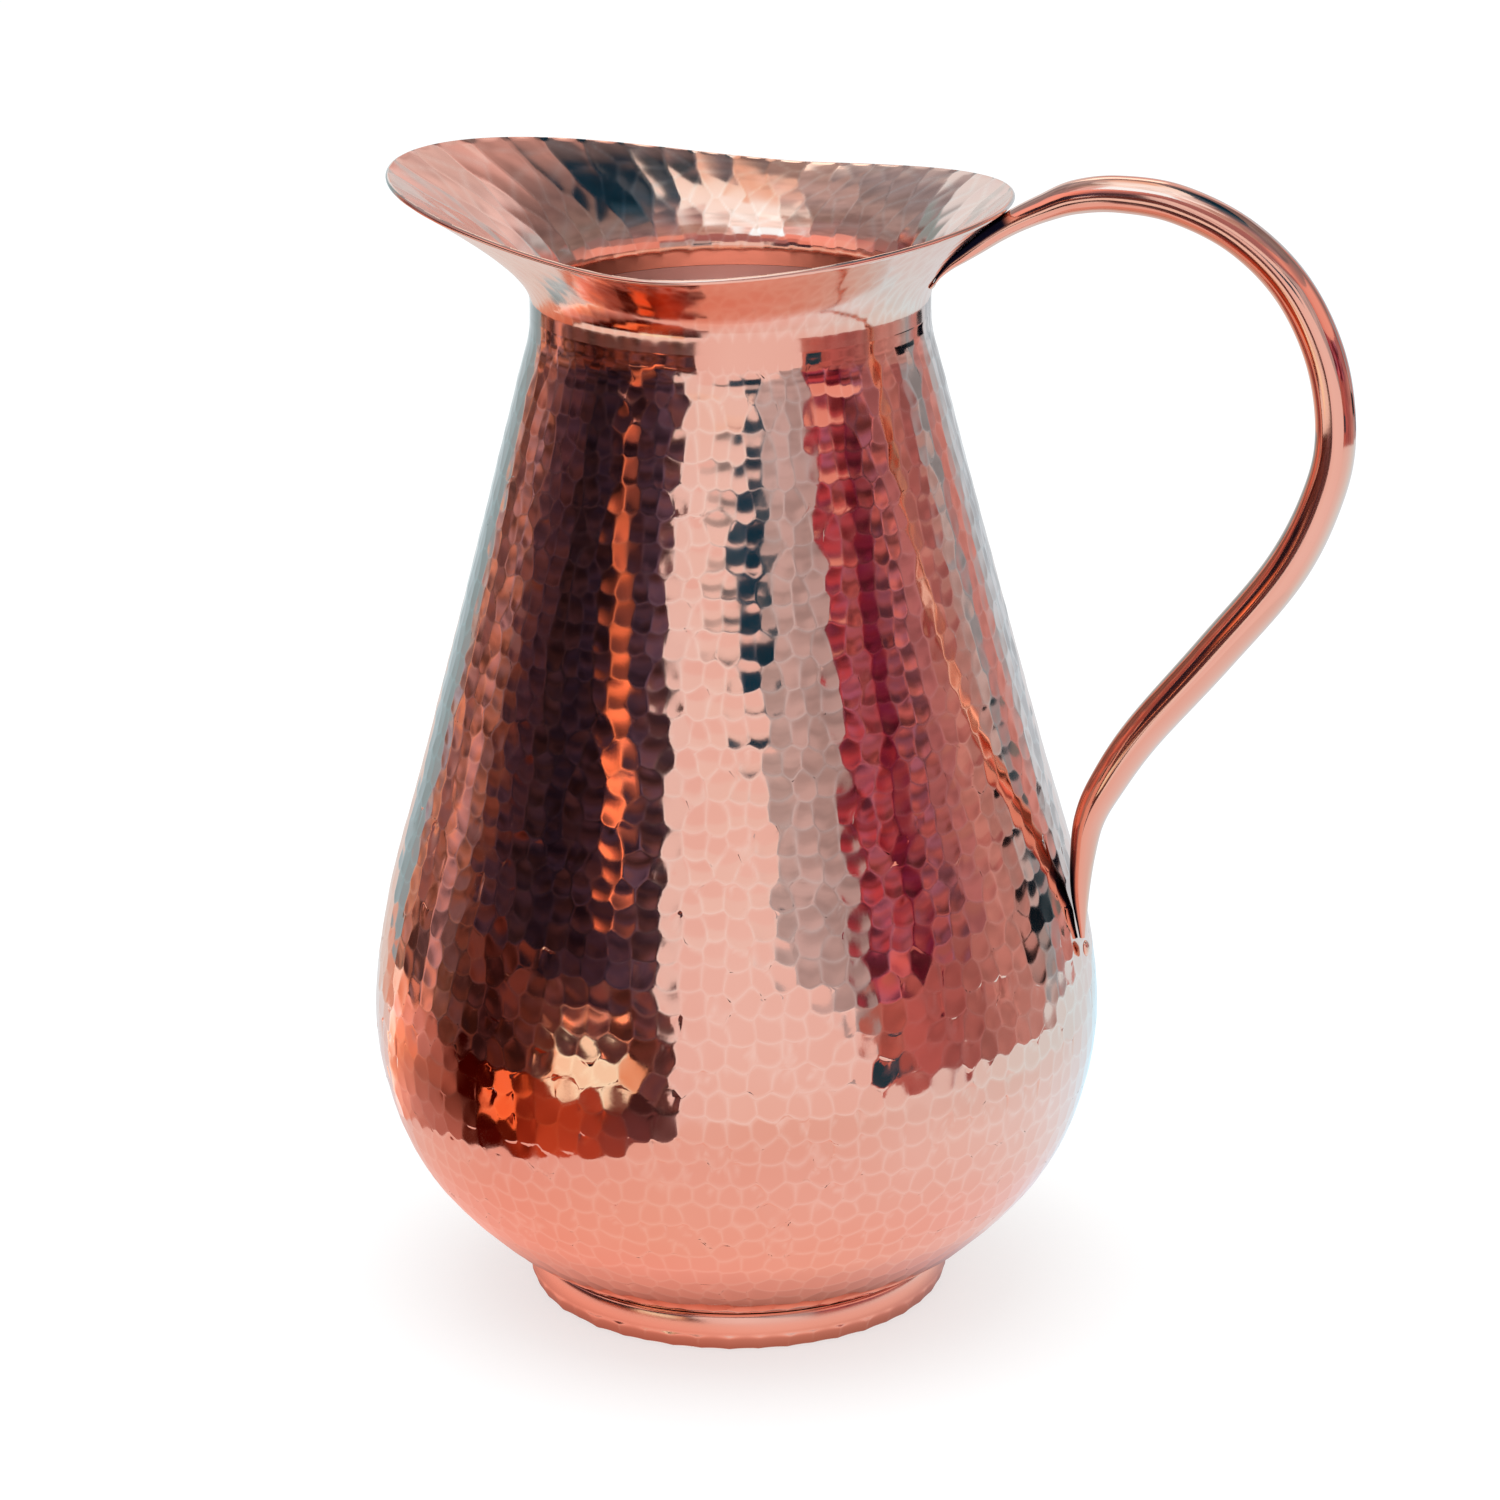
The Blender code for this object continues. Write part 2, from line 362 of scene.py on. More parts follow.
def mesh_object(name, points, faces, crests=None, insides_and_shade=None):
    mesh = bpy.data.meshes.new(name)
    mesh.from_pydata(points, [], faces)
    mesh.shade_smooth()
    mesh.set_sharp_from_angle(angle=math.radians(50))
    for label, values in (("crest", crests), ("inside", insides_and_shade)):
        if values is not None:
            attribute = mesh.attributes.new(label, "FLOAT", "POINT")
            attribute.data.foreach_set("value", np.asarray(values, np.float32))
    obj = bpy.data.objects.new(name, mesh)
    bpy.context.scene.collection.objects.link(obj)
    return obj


def skin(name, rings, crests=None, ring_closed=False, poles=None, insides_and_shade=None):
    """A closed surface from rings of points. The rings join end to end, or end in a point at each pole."""
    rings = np.asarray(rings)
    ring_count, count = rings.shape[:2]
    points = rings.reshape(-1, 3)
    low = np.arange(count)
    high = (low + 1) % count
    faces = []
    for ring in range(ring_count if ring_closed else ring_count - 1):
        here = ring * count
        there = (ring + 1) % ring_count * count
        faces.append(np.stack([here + low, here + high, there + high, there + low], axis=1))
    faces = np.concatenate(faces).tolist()
    if poles is not None:
        first, last = len(points), len(points) + 1
        points = np.vstack([points, poles])
        end = (ring_count - 1) * count
        faces += [[first, b, a] for a, b in zip(low.tolist(), high.tolist())]
        faces += [[last, end + a, end + b] for a, b in zip(low.tolist(), high.tolist())]
        if crests is not None:
            crests = np.concatenate([np.asarray(crests).reshape(-1), [0.0, 0.0]])
        if insides_and_shade is not None:
            insides_and_shade = np.concatenate([insides_and_shade.reshape(-1), [insides_and_shade[0, 0], insides_and_shade[-1, 0]]])
    if crests is not None:
        crests = np.asarray(crests).reshape(-1)
    return mesh_object(name, points.tolist(), faces, crests, insides_and_shade)


# ---------------------------------------------------------------- copper

def nodes_of(name):
    material = bpy.data.materials.new(name)
    material.use_nodes = True
    return material, material.node_tree


def noise(tree, place, scale, detail, stretch=(1, 1, 1)):
    mapping = tree.nodes.new("ShaderNodeMapping")
    mapping.inputs["Scale"].default_value = stretch
    texture = tree.nodes.new("ShaderNodeTexNoise")
    texture.inputs["Scale"].default_value = scale
    texture.inputs["Detail"].default_value = detail
    tree.links.new(place, mapping.inputs["Vector"])
    tree.links.new(mapping.outputs["Vector"], texture.inputs["Vector"])
    return texture.outputs["Fac"]


def mapped(tree, value, low, high, to_low, to_high):
    node = tree.nodes.new("ShaderNodeMapRange")
    for socket, number in zip(("From Min", "From Max", "To Min", "To Max"), (low, high, to_low, to_high)):
        node.inputs[socket].default_value = number
    tree.links.new(value, node.inputs["Value"])
    return node.outputs["Result"]


def mixed(tree, factor, first, second):
    """A colour between two, each a colour or another node's output."""
    node = tree.nodes.new("ShaderNodeMix")
    node.data_type = "RGBA"
    tree.links.new(factor, node.inputs["Factor"])
    for socket, colour in zip((node.inputs["A"], node.inputs["B"]), (first, second)):
        if isinstance(colour, tuple):
            socket.default_value = (*colour, 1.0)
        else:
            tree.links.new(colour, socket)
    return node.outputs["Result"]


def added(tree, first, second):
    node = tree.nodes.new("ShaderNodeMath")
    node.operation = "ADD"
    tree.links.new(first, node.inputs[0])
    tree.links.new(second, node.inputs[1])
    return node.outputs["Value"]


def painted_value(tree, label):
    node = tree.nodes.new("ShaderNodeAttribute")
    node.attribute_name = label
    return node.outputs["Fac"]


CLOUD_SCALE = 26
SMEAR_SCALE = 95
SCRATCH_SCALE = 1400
SCRATCH_DEPTH = 0.00005
DULL_ROUGHNESS = 0.30


def copper(name, tone, warm, pale, gloss, crest_gloss=0.0, haze=0.035, scratch=0.02, dull_and_shade=None):
    """Polished copper: tone drifts to warm in slow clouds; crests of the hammer marks are rougher from wear
    and painted paler, a painted sheen along the ridges.

    gloss is the roughness of clean metal, haze what fingers and cloths add to it, and scratch the
    strength of the finest polishing lines. The last colour goes where the inside attribute is set: plain
    unpolished copper on the shell's inner face, and painted shade, a dark reflection and shadow, on the bar.
    """
    material, tree = nodes_of(name)
    shader = tree.nodes["Principled BSDF"]
    shader.inputs["Metallic"].default_value = 1.0
    place = tree.nodes.new("ShaderNodeTexCoord").outputs["Object"]
    clouds = mapped(tree, noise(tree, place, CLOUD_SCALE, 3), 0.35, 0.70, 0.0, 1.0)
    colour = mixed(tree, clouds, tone, warm)
    smears = noise(tree, place, SMEAR_SCALE, 4)
    rough = mapped(tree, smears, 0.38, 0.72, gloss, gloss + haze)
    if crest_gloss:
        # Crests: rougher from wear, and a painted sheen, the pale colour that stands for light along the
        # ridges
        worn_and_sheen = mapped(tree, painted_value(tree, "crest"), 0.15, 1.0, 0.0, 0.5)
        colour = mixed(tree, worn_and_sheen, colour, pale)
        rough = added(tree, rough, mapped(tree, worn_and_sheen, 0.0, 1.0, 0.0, crest_gloss))
    # Where the inside attribute is set: unpolished copper inside the shell, and painted shade, a dark
    # reflection and shadow, on the handle bar
    if dull_and_shade:
        inside = painted_value(tree, "inside")
        colour = mixed(tree, inside, colour, dull_and_shade)
        rough = added(tree, rough, mapped(tree, inside, 0.0, 1.0, 0.0, DULL_ROUGHNESS))
    tree.links.new(colour, shader.inputs["Base Color"])
    tree.links.new(rough, shader.inputs["Roughness"])
    lines = tree.nodes.new("ShaderNodeBump")
    lines.inputs["Strength"].default_value = scratch
    lines.inputs["Distance"].default_value = SCRATCH_DEPTH
    tree.links.new(noise(tree, place, SCRATCH_SCALE, 2), lines.inputs["Height"])
    tree.links.new(lines.outputs["Normal"], shader.inputs["Normal"])
    return material


COPPER = (0.86, 0.47, 0.36)
COPPER_WARM = (0.84, 0.43, 0.315)
# Pale colour of the crests: a painted sheen
COPPER_PALE = (0.93, 0.66, 0.54)
COPPER_DULL = (0.86, 0.58, 0.52)
BRAZE = (0.86, 0.56, 0.42)
# Painted shade: near-black that stands for a dark reflection and shadow on the handle bar where it faces the
# lip and the wall
PAINTED_BAR_SHADE = (0.006, 0.009, 0.030)


# ---------------------------------------------------------------- pieces

def finish_piece(piece, node, material):
    piece.data.materials.append(material)
    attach(piece, "root")
    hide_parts(node)
    return piece


def mark_rows(wall, first_run, last_run):
    """Rows of marks up the shell. Low down they keep their width, and above the belly their number."""
    rows = []
    run = first_run
    while run < last_run:
        pitch = np.interp(wall.at(run)[1], *MARK_PITCHES)
        middle = run + pitch / 2
        radius, height = wall.at(middle)
        count = MARKS_ROUND_CONE
        if height < BELLY_HEIGHT:
            count = min(count, round(math.tau * radius / MM / MARK_WIDTH_LOW))
        rows.append((middle, count))
        run += pitch
    return rows


def row_angles(marks, row, run, radius):
    """Angles of a ring through a row of marks, with points at the crests between them."""
    count = marks.counts[row]
    firsts = np.round(np.arange(count + 1) * SHELL_COLUMNS / count).astype(int)
    column = np.searchsorted(firsts, np.arange(SHELL_COLUMNS), side="right") - 1
    part = (np.arange(SHELL_COLUMNS) - firsts[column]) / (firsts[column + 1] - firsts[column])
    steps = np.arange(len(MARK_FRACTIONS) + 1) / len(MARK_FRACTIONS)
    part = np.interp(part, steps, (*MARK_FRACTIONS, 1.0))
    start, end = marks.edge(row, column, run, radius), marks.edge(row, column + 1, run, radius)
    return start + (end - start) * part


def shell_rings(marks, wall, start):
    """Rings up the face as (row, run lengths, angles), which follow the crests on all sides of a mark."""
    last = len(marks.places) - 1
    bounds = [start, *((marks.places[1:] + marks.places[:-1]) / 2), wall.length]
    radius = wall.at(start)[0] / MM
    lowest = row_angles(marks, 0, start, radius)
    rings = [(0, np.full(SHELL_COLUMNS, run), lowest) for run in np.arange(1.5, start, BASE_RING_STEP)]
    for row in range(last + 1):
        for part in MARK_FRACTIONS:
            run = bounds[row] * (1 - part) + bounds[row + 1] * part
            radius = wall.at(run)[0] / MM
            other = min(max(row - 1 if part < 0.5 else row + 1, 0), last)
            share = 0.5 * (1 - ramp(min(part, 1 - part), 0.0, 0.14))
            angles = row_angles(marks, row, run, radius) * (1 - share)
            angles += row_angles(marks, other, run, radius) * share
            low = marks.crest_run(row - 1, radius, angles) if row else start
            high = marks.crest_run(row, radius, angles) if row < last else wall.length
            rings.append((row, low + (high - low) * part, angles))
    highest = row_angles(marks, last, wall.length, NECK_RADIUS / MM)
    rings.append((last, np.full(SHELL_COLUMNS, wall.length), highest))
    return rings


def hammered_shell():
    wall = Wall(SHELL_STATIONS)
    base_part = wall.curve[:, 1] < BASE_TOP
    crease = float(np.interp(FOOT_CREASE_RADIUS, wall.curve[base_part, 0], wall.runs[base_part]))
    start = crease + 0.6
    marks = HammerMarks(
        mark_rows(wall, start, wall.length), 7, MARK_DISH, MARK_BOW, MARK_ARCH, MARK_BLEND,
        MARK_DEPTH_JITTER, MARK_LEAN_JITTER,
    )
    waves = Waves(11, HAND_UNEVENNESS)

    def surface(row, run, angles, inward, share):
        """A ring of the wall moved inward by a distance in mm, with this share of the marks' height."""
        radius, height = wall.at(run).T
        out, up = wall.normals(run).T
        marked, crest = marks.at(row, run, radius / MM, angles)
        fade = ramp(run, crease, crease + 2.5) * (1 - ramp(run, wall.length - 5.0, wall.length - 0.5))
        moved = (marked * share + waves.at(run, angles)) * fade - inward
        moved = moved * MM
        ring = turned_points(radius + out * moved, height + up * moved, angles)
        return ring, crest * fade

    rings, crests = [], []
    outside = shell_rings(marks, wall, start)
    for row, run, angles in outside:
        ring, crest = surface(row, run, angles, 0.0, 1.0)
        rings.append(ring)
        crests.append(crest)
    for row, run, angles in outside[::-3] + outside[:1]:
        ring, crest = surface(row, run, angles, SHEET / MM, 0.85)
        rings.append(ring)
        crests.append(crest * 0.0)
    base = SHELL_STATIONS[0][1]
    poles = [(AXIS_X, 0.0, base), (AXIS_X, 0.0, base + SHEET)]
    insides_and_shade = np.zeros(np.shape(rings)[:2])
    insides_and_shade[len(outside):] = 1.0
    return skin("hammered_shell", rings, crests, poles=poles, insides_and_shade=insides_and_shade)


def rim_point(angles):
    """Radius and height of the mouth's outer edge."""
    cosine = np.cos(angles)
    from_spout = np.abs(angles % math.tau - math.pi)
    reach = np.where(
        from_spout < SPOUT_HALF_ANGLE, np.cos(from_spout / SPOUT_HALF_ANGLE * math.pi / 2) ** 2, 0.0
    )
    radius = RIM_RADIUS + (SPOUT_REACH - RIM_RADIUS) * reach
    rise = np.where(cosine > 0, HANDLE_SIDE_RISE, SPOUT_RISE)
    return radius, RIM_DIP + rise * np.abs(cosine) ** RIM_RISE_POWER


def flare_face(angles, t):
    """Radius and height on the flare's outer face, t = 0 where it leaves the neck and 1 at the rim."""
    rim_radius, rim_height = rim_point(angles)
    start, corner, end = (1 - t) ** 2, 2 * t * (1 - t), t * t
    radius = NECK_RADIUS * (start + corner) + rim_radius * end
    height = FLARE_START * start + FLARE_CORNER * corner + rim_height * end
    return radius, height


def planished_mouth():
    angles = np.arange(MOUTH_COLUMNS) * math.tau / MOUTH_COLUMNS
    straight = np.linspace(COLLAR_HEIGHT, FLARE_START, 3, endpoint=False)
    steps = np.linspace(0.0, 1.0, 44)
    outer = [(np.full(MOUTH_COLUMNS, NECK_RADIUS), np.full(MOUTH_COLUMNS, height)) for height in straight]
    outer += [flare_face(angles, t) for t in steps]
    outer = np.array(outer)
    along = np.gradient(outer, axis=0)
    along /= np.linalg.norm(along, axis=1, keepdims=True)
    normal = np.stack([along[:, 1], -along[:, 0]], axis=1)
    lengths = np.linalg.norm(np.diff(outer, axis=0), axis=1) / MM
    runs = np.vstack([np.zeros(MOUTH_COLUMNS), np.cumsum(lengths, axis=0)])
    usual = runs.mean(axis=1)

    places = np.arange(1.5, usual[-1] + 6, PLANISH_PITCH)
    inside_marks = HammerMarks(
        [(place, MARKS_INSIDE_MOUTH) for place in places], seed=23, dish=0.006, bow=0.008, arch=0.0,
        blend=0.012, depth_jitter=0.006, lean_jitter=0.008, stagger=0.3, sway=0.12,
    )
    outside_marks = HammerMarks(
        [(place, MARKS_OUTSIDE_MOUTH) for place in places], seed=29, dish=0.001, bow=0.004, arch=0.0,
        blend=0.010, depth_jitter=0.004, lean_jitter=0.006, stagger=0.3, sway=0.12,
    )
    waves = Waves(31, HAND_UNEVENNESS)
    rings, crests = [], []
    rim = len(outer) - 1

    def face(index, marks, inward, share):
        radius, height = outer[index]
        row = int(np.argmin(np.abs(places - usual[index])))
        marked, crest = marks.at(row, usual[index], radius.mean() / MM, angles)
        fade = ramp(usual[index], 0.0, 3.0)
        moved = (marked * share * fade + waves.at(usual[index], angles) * fade - inward) * MM
        out, up = normal[index]
        rings.append(turned_points(radius + out * moved, height + up * moved, angles))
        crests.append(crest * fade)

    thickness = SHEET / MM
    for index in range(rim + 1):
        face(index, outside_marks, 0.0, 1.0)
    lip_radius, lip_height = outer[rim]
    out, up = normal[rim]
    for turn in np.radians((30, 60, 90, 120, 150)):
        inward = SHEET / 2 * (1 - np.cos(turn))
        past = SHEET / 2 * np.sin(turn) * 0.8
        run_out, run_up = along[rim]
        rings.append(turned_points(
            lip_radius - out * inward + run_out * past, lip_height - up * inward + run_up * past, angles,
        ))
        # The rolled lip takes part of the pale crest colour: a painted sheen along its edge
        crests.append(np.full(MOUTH_COLUMNS, 0.6))
    for index in range(rim, -1, -1):
        face(index, inside_marks, thickness, 1.0)
    return skin("planished_mouth", rings, crests, ring_closed=True)


def foot():
    """Ring under the shell: a plain sloping shoulder, and below it a band of narrow hammer marks."""
    angles = np.arange(FOOT_COLUMNS) * math.tau / FOOT_COLUMNS
    wall = Wall(FOOT_OUTSIDE)
    marks = HammerMarks(
        [(run, MARKS_ROUND_FOOT) for run in FOOT_MARK_RUNS], seed=41, dish=0.012, bow=0.030, arch=0.0,
        blend=0.008, depth_jitter=0.012, lean_jitter=0.012, stagger=0.5, sway=0.10,
    )
    waves = Waves(43, HAND_UNEVENNESS)
    rings, crests = [], []
    for run in np.arange(0.0, wall.length, FOOT_RING_STEP):
        radius, height = wall.at(run)
        out, up = wall.normals(run)
        marked, crest = marks.at(int(run > FOOT_ROW_CHANGE), run, radius / MM, angles)
        band = ramp(run, 0.9, 1.7) * (1 - ramp(run, 5.0, 5.9))
        moved = (marked * band - 0.05 + waves.at(run, angles)) * ramp(run, 0.6, 1.6) * MM
        rings.append(turned_points(radius + out * moved, height + up * moved, angles))
        crests.append(crest * band)
    for radius, height in FOOT_INSIDE:
        rings.append(turned_points(radius, height, angles))
        crests.append(np.zeros(FOOT_COLUMNS))
    return skin("hammered_foot", rings, crests, ring_closed=True)


def handle_bar():
    """A forged bar swept along its route, round in section with a slow unevenness, drawn to a point at each
    end.
    """
    route = smooth_curve(HANDLE_STATIONS, 26)
    lengths = run_lengths(route[:, :2])
    even = np.linspace(0.0, lengths[-1], HANDLE_RINGS)
    route = np.stack([np.interp(even, lengths, route[:, k]) for k in range(3)], axis=1)
    along = np.gradient(route[:, :2], axis=0)
    along /= np.linalg.norm(along, axis=1, keepdims=True)
    side = np.stack([-along[:, 1], along[:, 0]], axis=1)
    waves = Waves(53, HANDLE_UNEVENNESS)
    turns = np.arange(HANDLE_SIDES) * math.tau / HANDLE_SIDES
    rings, painted_shades = [], []
    for index, (reach, height, thickness) in enumerate(route):
        half = thickness / 2 + waves.at(even[index] / MM, turns) * MM * min(1.0, thickness / 0.004)
        off = half * np.cos(turns)
        rings.append(np.stack(
            [
                AXIS_X + reach + side[index, 0] * off,
                half * np.sin(turns),
                height + side[index, 1] * off,
            ],
            axis=-1,
        ))
        # Painted shade, a dark reflection and shadow: the bar's side towards the lip near its upper end, and
        # its side towards the wall low down
        under_rim = 1 - ramp(reach, *RIM_SHADE_REACH)
        by_wall = 1 - ramp(height, *WALL_SHADE_HEIGHT)
        painted_shades.append(
            under_rim * ramp(np.cos(turns), -0.15, 0.15) + by_wall * ramp(-np.cos(turns), 0.2, 0.5)
        )
    ends = [(AXIS_X + route[end, 0], 0.0, route[end, 1]) for end in (0, -1)]
    return skin("handle_bar", rings, poles=ends, insides_and_shade=np.array(painted_shades))


def drop(name, centre, outward, across, along, thick, seed):
    """A lump of braze that has run and set: an uneven bead, flat on the wall behind it."""
    random = np.random.default_rng(seed)
    shifts = random.uniform(0, math.tau, 4)
    outward = np.array((outward[0], 0.0, outward[1]))
    sideways = np.array((0.0, 1.0, 0.0))
    upward = np.cross(sideways, outward)
    rings = []
    turns = np.arange(40) * math.tau / 40
    for tilt in np.linspace(0.12, math.pi - 0.12, 19):
        uneven = 1 + 0.10 * np.sin(2 * turns + shifts[0])
        uneven += 0.06 * np.sin(5 * turns + shifts[1]) * math.sin(tilt)
        flat = math.cos(tilt) if math.cos(tilt) > 0 else 0.5 * math.cos(tilt)
        ring = (
            np.array(centre)
            + np.outer(np.cos(turns) * uneven * math.sin(tilt) * across, sideways)
            + np.outer(np.sin(turns) * uneven * math.sin(tilt) * along, -upward)
            + outward * (flat * thick)
        )
        rings.append(ring)
    bulge = outward * thick * 0.01
    poles = [rings[0].mean(axis=0) + bulge, rings[-1].mean(axis=0) - bulge]
    return skin(name, rings, poles=poles)


def ring_piece(name, outline, waves_seed):
    """A ring whose section is the outline, with the slight unevenness of a run of braze."""
    columns = 360
    angles = np.arange(columns) * math.tau / columns
    waves = Waves(waves_seed, 0.06, turns=(7, 13, 22, 35), lengths=(9, 7, 5, 4))
    rings = [
        turned_points(radius + waves.at(height / MM, angles) * MM * loose, height, angles)
        for radius, height, loose in outline
    ]
    return skin(name, rings, ring_closed=True)


def neck_seam():
    """The braze between shell and mouth, dressed flush with both."""
    low, high = NECK_HEIGHT, COLLAR_HEIGHT
    inside = NECK_RADIUS - SHEET
    middle = (low + high) / 2
    outline = [
        (inside, low, 0), (NECK_RADIUS, low, 0), (NECK_RADIUS, middle, 0),
        (NECK_RADIUS, high, 0), (inside, high, 0), (inside, middle, 0.3),
    ]
    return ring_piece("neck_seam", outline, 61)


def foot_seam():
    """The fillet of braze in the corner between base and foot ring, seen only from below."""
    low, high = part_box("foot_braze_seam")
    edge = FOOT_INNER_RADIUS
    reach = edge - 0.0024
    outline = [(reach, high.z + 0.0002, 1), (edge, high.z + 0.0004, 0), (edge, low.z, 0)]
    for turn in np.linspace(80, 10, 6):
        outline.append((
            reach + (edge - reach) * (1 - math.cos(math.radians(turn))) * 0.9,
            low.z + (high.z - low.z) * (1 - math.sin(math.radians(turn))) * 0.9 + 0.0002,
            1,
        ))
    return ring_piece("foot_seam", outline, 67)


def handle_drops():
    upper_low, upper_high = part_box("upper_handle_braze")
    lower_low, lower_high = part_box("lower_handle_braze")
    upper = (upper_low + upper_high) / 2
    upper.z += UPPER_JOINT_RAISE
    lower = (lower_low + lower_high) / 2
    return (
        drop("upper_drop", upper, (0.85, -0.53), 0.0014, 0.0009, 0.0005, 71),
        drop("lower_drop", lower, (1.0, 0.08), 0.0014, 0.0018, 0.0009, 73),
    )


def make_pieces():
    hammered = copper(
        "hammered_copper", COPPER, COPPER_WARM, COPPER_PALE, 0.05, crest_gloss=0.10, dull_and_shade=COPPER_DULL,
    )
    planished = copper("planished_copper", COPPER, COPPER_WARM, COPPER_PALE, 0.085, crest_gloss=0.12)
    foot_copper = copper("foot_copper", COPPER, COPPER_WARM, COPPER_PALE, 0.16, crest_gloss=0.15)
    # The bar's last colour is painted shade where it faces the lip and the wall
    bar = copper("bar_copper", COPPER, COPPER_WARM, COPPER_PALE, 0.07, haze=0.05, dull_and_shade=PAINTED_BAR_SHADE)
    braze = copper("braze_metal", BRAZE, COPPER, COPPER_PALE, 0.22, haze=0.12, scratch=0.2)
    dressed = copper("dressed_braze", COPPER, COPPER_WARM, COPPER_PALE, 0.10)
    finish_piece(hammered_shell(), "body_shell", hammered)
    finish_piece(planished_mouth(), "mouth_collar", planished)
    finish_piece(foot(), "foot_ring", foot_copper)
    finish_piece(handle_bar(), "handle", bar)
    finish_piece(neck_seam(), "neck_braze_seam", dressed)
    finish_piece(foot_seam(), "foot_braze_seam", braze)
    upper, lower = handle_drops()
    finish_piece(upper, "upper_handle_braze", braze)
    finish_piece(lower, "lower_handle_braze", braze)


# ---------------------------------------------------------------- studio

CAMERA_AZIMUTH = math.radians(16)
CAMERA_ELEVATION = math.radians(18)
CAMERA_DISTANCE = 1.150
CAMERA_TARGET_HEIGHT = 0.1202
CAMERA_LENS = 128.8
CAMERA_ROLL = math.radians(-0.51)
CAMERA_SHIFT = 0.0104
INNER_LIGHT = 0.022
OVERHEAD_LIGHT = 7.0
OVERHEAD_SIZE = 1.2
FLOOR_REACH = 6.0

# The far cards hang at this distance, each layer a little nearer than the one before it
ROOM_RADIUS = 3.0
LAYER_STEP = 0.02
STANDING_ROWS = 9
HANGING_ROW_DEGREES = 4


def camera():
    data = bpy.data.cameras.new("camera")
    data.lens = CAMERA_LENS
    data.sensor_width = 36.0
    data.shift_x = CAMERA_SHIFT
    data.clip_start, data.clip_end = 0.05, 60.0
    obj = bpy.data.objects.new("camera", data)
    back = Vector((
        math.sin(CAMERA_AZIMUTH) * math.cos(CAMERA_ELEVATION),
        -math.cos(CAMERA_AZIMUTH) * math.cos(CAMERA_ELEVATION),
        math.sin(CAMERA_ELEVATION),
    ))
    turned = back.to_track_quat("Z", "Y").to_matrix().to_4x4()
    place = Matrix.Translation(Vector((AXIS_X, 0.0, CAMERA_TARGET_HEIGHT)) + back * CAMERA_DISTANCE)
    obj.matrix_world = place @ turned @ Matrix.Rotation(CAMERA_ROLL, 4, "Z")
    bpy.context.scene.collection.objects.link(obj)
    bpy.context.scene.camera = obj


def hide_from_all_but_mirrors(obj):
    obj.visible_camera = False
    obj.visible_diffuse = False
    obj.visible_shadow = False
    obj.visible_transmission = False


def glow(name, clutter=None, tints=((1.0, 1.0, 1.0), (1.0, 1.0, 1.0))):
    """A card's material: it gives off the colours painted on it, uneven where the room is cluttered."""
    material, tree = nodes_of(name)
    tree.nodes.remove(tree.nodes["Principled BSDF"])
    shader = tree.nodes.new("ShaderNodeEmission")
    paint = tree.nodes.new("ShaderNodeAttribute")
    paint.attribute_name = "paint"
    tree.links.new(paint.outputs["Color"], shader.inputs["Color"])
    if clutter:
        place = tree.nodes.new("ShaderNodeTexCoord").outputs["Object"]
        things = noise(tree, place, 3.4, 3, (1, 1, 1.6))
        tree.links.new(mapped(tree, things, 0.36, 0.64, *clutter), shader.inputs["Strength"])
        others = mapped(tree, noise(tree, place, 4.6, 2, (1, 1, 1.3)), 0.40, 0.60, 0.0, 1.0)
        tint = tree.nodes.new("ShaderNodeMix")
        tint.data_type = "RGBA"
        tint.blend_type = "MULTIPLY"
        tint.inputs["Factor"].default_value = 1.0
        tree.links.new(paint.outputs["Color"], tint.inputs["A"])
        tree.links.new(mixed(tree, others, *tints), tint.inputs["B"])
        tree.links.new(tint.outputs["Result"], shader.inputs["Color"])
    tree.links.new(shader.outputs["Emission"], tree.nodes["Material Output"].inputs["Surface"])
    material.cycles.emission_sampling = "NONE"
    return material


def linear(code):
    """Linear light of a colour written as six hex digits."""
    values = np.array([int(code[k:k + 2], 16) for k in (0, 2, 4)]) / 255
    return np.where(values <= 0.04045, values / 12.92, ((values + 0.055) / 1.055) ** 2.4)


def copper_mirror(azimuth):
    """Share of each colour that the jug's wall mirrors from an azimuth: at a glance copper turns white."""
    squareness = abs(math.cos(math.radians(azimuth) / 2))
    head_on = np.array(COPPER)
    return head_on + (1 - head_on) * (1 - squareness) ** 5


def painted(name, azimuths, rows, shades, place, material):
    """A sheet seen only in reflections. place(azimuth, row) gives its points, and shades their colours."""
    points = [place(azimuth, row) for row in rows for azimuth in azimuths]
    count = len(azimuths)
    faces = [
        (row * count + k, row * count + k + 1, (row + 1) * count + k + 1, (row + 1) * count + k)
        for row in range(len(rows) - 1) for k in range(count - 1)
    ]
    obj = mesh_object(name, points, faces)
    colours = obj.data.attributes.new("paint", "FLOAT_COLOR", "POINT")
    paint = np.concatenate([np.asarray(shades), np.ones((len(points), 1))], axis=1)
    colours.data.foreach_set("color", paint.astype(np.float32).reshape(-1))
    obj.data.materials.append(material)
    hide_from_all_but_mirrors(obj)


def facing(azimuth):
    """Unit vector level with the table at an azimuth from the camera, to its right."""
    turn = math.radians(azimuth) + CAMERA_AZIMUTH - math.pi / 2
    return np.array((math.cos(turn), math.sin(turn), 0.0))


def shades_between(stops, azimuths):
    """What the cards give off at each azimuth, from stops of (azimuth, the colour that copper shows)."""
    shown = np.array([linear(code) / copper_mirror(azimuth) for azimuth, code in stops])
    places = [stop[0] for stop in stops]
    return np.stack([np.interp(azimuths, places, shown[:, k]) for k in range(3)], axis=1)


def fine(stops):
    """Azimuths of all the stops, and of steps of two degrees between them."""
    places = [stop[0] for stop in stops]
    return np.unique(np.concatenate([places, np.arange(places[0], places[-1], 2.0)]))


